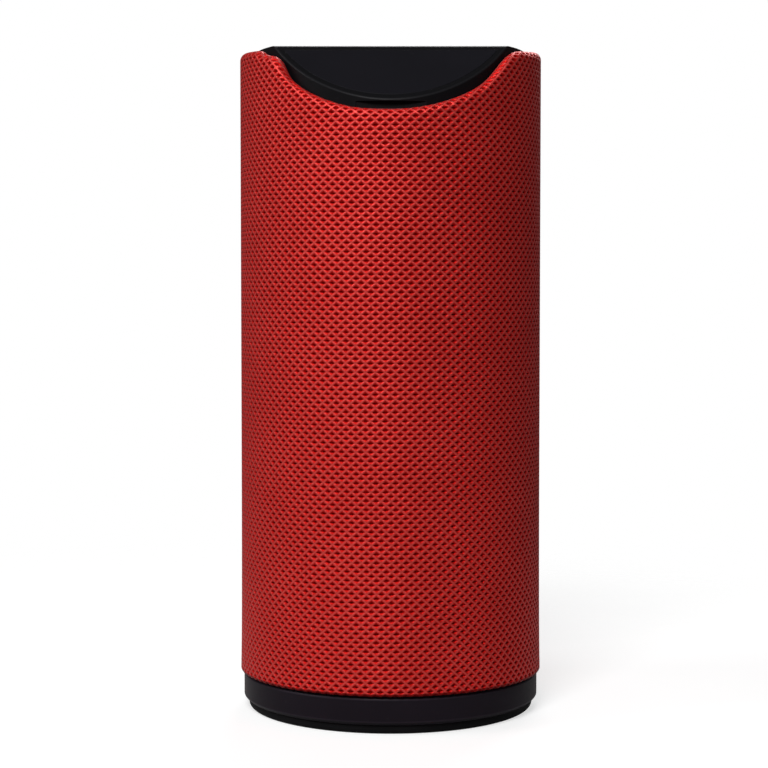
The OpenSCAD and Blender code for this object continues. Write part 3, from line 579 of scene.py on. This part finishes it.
def rounded(node, name, width, finish, edge_finish=None, marked=None, mark_finish=None):
    """A new piece shaped as a CAD node is, with its sharp edges rounded and its faces smoothed.
    The width is a number or a function of an edge. The rounded edges may take a finish of their
    own, and so may the faces that pass the test marked."""
    source = frame["nodes"][node]
    work = bmesh.new()
    work.from_mesh(source.data)
    bmesh.ops.remove_doubles(work, verts=work.verts, dist=0.002 * MM)
    bmesh.ops.dissolve_limit(work, angle_limit=math.radians(0.6), verts=work.verts,
                             edges=work.edges)
    weight = work.edges.layers.float.new("bevel_weight_edge")
    sharp = [edge for edge in work.edges
             if len(edge.link_faces) == 2 and edge.calc_face_angle() > math.radians(24)]
    widths = [width(e) if callable(width) else width for e in sharp]
    for edge, wide in zip(sharp, widths):
        edge[weight] = wide / max(widths)
    for face in work.faces:
        face.smooth = True
        face.material_index = int(bool(marked and marked(face.calc_center_median())))
    mesh = bpy.data.meshes.new(name)
    work.to_mesh(mesh)
    work.free()
    made = bpy.data.objects.new(name, mesh)
    bpy.context.scene.collection.objects.link(made)
    mesh.materials.append(finish)
    if marked:
        mesh.materials.append(mark_finish)
    bevel = made.modifiers.new("bevel", "BEVEL")
    bevel.limit_method, bevel.width, bevel.segments = "WEIGHT", max(widths), 3
    bevel.use_clamp_overlap, bevel.loop_slide = False, False
    if edge_finish:
        mesh.materials.append(edge_finish)
        bevel.material = len(mesh.materials) - 1
    weighted = made.modifiers.new("weighted", "WEIGHTED_NORMAL")
    weighted.keep_sharp = True
    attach(made, source["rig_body"])
    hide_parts(node)
    return made


SLOTS = {part["node"]: part["material_slot"] for part in frame["record"]["subparts"]}
FINISHES = {
    "foot_rubber": rubber("foot_rubber", (0.0068, 0.0064, 0.0074)),
    "base_plastic": moulded("base_plastic", BASE_BLACK, rough=0.40, shine=0.08),
    "screw_steel": metal("screw_steel", (0.30, 0.30, 0.31), rough=0.36),
    "tube_plastic": moulded("tube_plastic", (0.012, 0.012, 0.013), rough=0.6),
    "chassis_plastic": moulded("chassis_plastic", (0.020, 0.020, 0.022), rough=0.55),
    "gasket_foam": fibrous("gasket_foam", (0.030, 0.030, 0.032), fibre=0.35 * MM),
    "basket_steel": metal("basket_steel", (0.16, 0.16, 0.17), rough=0.45),
    "iron": metal("iron", (0.42, 0.41, 0.40), rough=0.38),
    "ferrite": moulded("ferrite", (0.030, 0.028, 0.028), rough=0.7, grain=0.3 * MM,
                       depth=0.03 * MM),
    "coil_copper": winding("coil_copper", (0.72, 0.30, 0.13)),
    "cone_paper": fibrous("cone_paper", (0.045, 0.043, 0.042), fibre=0.6 * MM),
    "surround_rubber": rubber("surround_rubber", (0.020, 0.020, 0.022), rough=0.5),
    "spider_cloth": fibrous("spider_cloth", (0.52, 0.36, 0.13), fibre=0.4 * MM),
    "cell_wrap": wrap_film("cell_wrap", (0.05, 0.16, 0.42)),
    "socket_steel": metal("socket_steel", (0.62, 0.62, 0.64), rough=0.26),
    "circuit_board": circuit_board(),
    "chip_black": moulded("chip_black", (0.014, 0.014, 0.015), rough=0.5, grain=0.1 * MM),
    "socket_plastic": moulded("socket_plastic", (0.012, 0.012, 0.013), rough=0.45, grain=0.1 * MM),
    "port_plastic": moulded("port_plastic", PORT_BLACK, rough=0.44),
    "cap_plastic": moulded("cap_plastic", CAP_BLACK, rough=0.42, shine=0.07),
    "fascia_plastic": moulded("fascia_plastic", (0.0060, 0.0056, 0.0083), rough=0.44, shine=0.11),
    "key_rubber": rubber("key_rubber", (0.022, 0.022, 0.024), rough=0.55),
    "clear_plastic": clear_plastic(),
    "red_lead": wrap_film("red_lead", (0.45, 0.02, 0.02)),
    "grey_lead": wrap_film("grey_lead", (0.55, 0.55, 0.56)),
}
# Painted shade: a darker, duller black for the faces inside the slot's recess.
SLOT_SHADE = moulded("slot_shade", (0.0034, 0.0022, 0.0030), rough=0.7)
# Edge finishes: paler partly from wear and partly as a painted highlight.
CAP_EDGE = worn_and_highlit_edge("cap_edge", CAP_BLACK, 0.42, 0.07)
BASE_EDGE = worn_and_highlit_edge("base_edge", BASE_BLACK, 0.40, 0.08)
PORT_EDGE = worn_and_highlit_edge("port_edge", PORT_BLACK, 0.44, 0.14)
KEY_PRINT = moulded("key_print", (0.55, 0.55, 0.56), rough=0.5, grain=0.1 * MM)


def dress_frame():
    """Every CAD node that stays takes its slot's finish."""
    for node, obj in frame["nodes"].items():
        finish = FINISHES.get(SLOTS[node])
        if finish:
            obj.data.materials.clear()
            obj.data.materials.append(finish)


def foot_ring():
    """The rubber foot, turned: a flat sole with fine grip ribs and a rounded outer edge."""
    low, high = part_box("rubber_foot")
    inner, outer, top = 25 * MM, high.x, high.z
    edge = 1.2 * MM           # radius of the outer edge
    profile = [(inner, top), (inner, 0.35 * MM), (inner + 0.10 * MM, 0.10 * MM),
               (inner + 0.35 * MM, 0)]
    rib, pitch = inner + 1.2 * MM, 1.05 * MM
    groove = ((0.0, 0), (0.06, 0.06), (0.12, 0.28), (0.20, 0.32), (0.28, 0.28), (0.34, 0.06),
              (0.40, 0))
    while rib + pitch < outer - edge - 0.4 * MM:
        profile += [(rib + share * pitch, lift * MM) for share, lift in groove]
        rib += pitch
    for k in range(9):
        turn = math.radians(90 * k / 8)
        profile.append((outer - edge + edge * math.sin(turn), edge - edge * math.cos(turn)))
    profile += [(outer, top - 0.15 * MM), (outer - 0.06 * MM, top - 0.04 * MM),
                (outer - 0.18 * MM, top)]
    made = turned("foot_ring", profile, FINISHES["foot_rubber"])
    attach(made, "speaker")
    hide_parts("rubber_foot")


def turned(name, profile, finish):
    """A closed ring turned about Z from a profile of radius and height."""
    sides = 288
    turn = np.linspace(0, math.tau, sides, endpoint=False)
    radius, height = np.array(profile).T
    points = np.stack([np.outer(radius, np.sin(turn)), np.outer(radius, np.cos(turn)),
                       np.repeat(height[:, None], sides, 1)], -1).reshape(-1, 3)
    row = np.arange(len(profile))[:, None] * sides
    column = np.arange(sides)[None, :]
    after_row, after_column = np.roll(row, -1, 0), (column + 1) % sides
    quads = np.stack([row + column, row + after_column, after_row + after_column,
                      after_row + column], -1)
    made = mesh_object(name, points, quads.reshape(-1, 4))
    made.data.materials.append(finish)
    weighted = made.modifiers.new("weighted", "WEIGHTED_NORMAL")
    weighted.keep_sharp = True
    return made


def cap_width(edge):
    """How far an edge of the cap is rounded: broad at the ridge, soft round the slant's rim, and
    hardly at all round the recess that holds the fascia."""
    a, b = (v.co for v in edge.verts)
    near = 0.02 * MM
    across = abs(a.y - b.y) < near and abs(a.x - b.x) > 20 * MM
    if across and min(a.z, b.z) > DECK_Z - near:
        return 0.7 * MM
    if any(face.normal.z > 0.6 and face.normal.y < -0.5 for face in edge.link_faces):
        on_rim = ((a + b) / 2).xy.length > -CAP_LOW.y - 0.3 * MM
        return 0.30 * MM if on_rim else 0.03 * MM
    return 0.18 * MM


def key_width(edge):
    """How far an edge of a key is rounded: its raised symbol only a little."""
    key_top = DECK_Z + 0.7 * MM
    if max(v.co.z for v in edge.verts) > key_top:
        return 0.04 * MM
    return 0.22 * MM if edge.is_convex else 0


def in_slot(at):
    """Whether a point of the cap lies inside the slot in its front."""
    play, depth = 0.05 * MM, 1.4 * MM
    in_width = abs(at.x) < SLOT_HALF_WIDTH
    in_height = SLOT_TOP - SLOT_HEIGHT - play < at.z < SLOT_TOP + play
    return in_width and in_height and CAP_LOW.y < at.y < CAP_LOW.y + depth


def visible_parts():
    """The mouldings that show, with rounded edges."""
    # The cap, base and port plate take paler rounded edges, partly wear and partly a painted
    # highlight; the faces in the cap's slot take painted shade.
    rounded("top_cap", "cap_shell", cap_width, FINISHES["cap_plastic"], CAP_EDGE,
            marked=in_slot, mark_finish=SLOT_SHADE)
    rounded("fascia_panel", "fascia_insert", 0.03 * MM, FINISHES["fascia_plastic"])
    rounded("base_cap", "base_band", 0.25 * MM, FINISHES["base_plastic"], BASE_EDGE)
    foot_ring()
    rounded("port_plate", "port_bezel", 0.15 * MM, FINISHES["port_plastic"], PORT_EDGE)
    for key in ("play", "minus", "plus", "mode"):
        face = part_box("button_" + key)[1].z - 0.1 * MM
        rounded("button_" + key, key + "_key", key_width, FINISHES["key_rubber"],
                marked=lambda at, level=face: at.z > level, mark_finish=KEY_PRINT)


# ---------- floor, light and camera ----------


def floor():
    """Pale paper, fading into the white surroundings away from the object. It glows for the camera
    alone, so that it looks white and yet throws little light up at the object."""
    p = Paint("floor_paper", Roughness=0.9, Specular_IOR_Level=0.1, Emission_Color=(1, 1, 1))
    seen = p.node("LightPath").outputs["Is Camera Ray"]
    p.put(p.shader.inputs["Emission Strength"], p.math("MULTIPLY", seen, 0.62))
    tone = p.noise(0.05, 3.0)
    far = p.node("VectorMath", {"operation": "LENGTH"}, Vector=p.place()).outputs["Value"]
    p.put(p.shader.inputs["Alpha"], p.range(far, 0.10, FLOOR_R, 1.0, 0.0))
    corners = [(x * FLOOR_R, y * FLOOR_R, 0) for x, y in ((-1, -1), (1, -1), (1, 1), (-1, 1))]
    made = mesh_object("floor", corners, np.array([[0, 1, 2, 3]]), smooth=False)
    made.data.materials.append(p.finish(p.mix(tone, (0.46, 0.46, 0.46), (0.50, 0.50, 0.50))))


def soft_box(name, azimuth, elevation, distance, size, power):
    """A square area light that faces the middle of the object. Azimuth 0 is straight in front of it
    and 90 on its right."""
    data = bpy.data.lights.new(name, "AREA")
    data.shape, data.size, data.energy = "SQUARE", size, power
    lamp = bpy.data.objects.new(name, data)
    bpy.context.scene.collection.objects.link(lamp)
    a, e = math.radians(azimuth), math.radians(elevation)
    way = Vector((math.sin(a) * math.cos(e), -math.cos(a) * math.cos(e), math.sin(e)))
    lamp.location = Vector((0, 0, 0.08)) + way * distance
    lamp.rotation_mode = "QUATERNION"
    lamp.rotation_quaternion = way.to_track_quat("Z", "Y")


def studio():
    """A key light from the left above, a weaker light from the left, one behind the object, and
    surroundings that are white for the camera and weak as a light."""
    soft_box("key", -12, 42, 0.8, 0.28, 4.7)
    soft_box("side", -74, 30, 1.0, 0.40, 3.1)
    soft_box("back", 168, 34, 1.2, 0.60, 6.0)
    world = bpy.data.worlds.new("studio")
    bpy.context.scene.world = world
    world.use_nodes = True
    tree = world.node_tree
    seen = tree.nodes.new("ShaderNodeLightPath").outputs["Is Camera Ray"]
    strength = tree.nodes.new("ShaderNodeMapRange")
    strength.inputs["To Min"].default_value, strength.inputs["To Max"].default_value = 0.115, 1.0
    tree.links.new(seen, strength.inputs["Value"])
    tree.links.new(strength.outputs[0], tree.nodes["Background"].inputs["Strength"])
    tree.nodes["Background"].inputs["Color"].default_value = (1, 1, 1, 1)
    bpy.context.scene.view_settings.view_transform = "Standard"


def camera():
    """The photograph's view: just under half a metre off, 102 mm above the floor, and looking
    slightly down."""
    data = bpy.data.cameras.new("camera")
    data.lens, data.sensor_width = 89.82, 36
    data.clip_start, data.clip_end = 0.01, 20
    made = bpy.data.objects.new("camera", data)
    bpy.context.scene.collection.objects.link(made)
    made.location = (0, -0.4697, 0.1022)
    made.rotation_euler = (math.radians(90 - 2.85), 0, math.radians(0.194))
    bpy.context.scene.camera = made


dress_frame()
cloth_sleeve()
visible_parts()
floor()
studio()
camera()
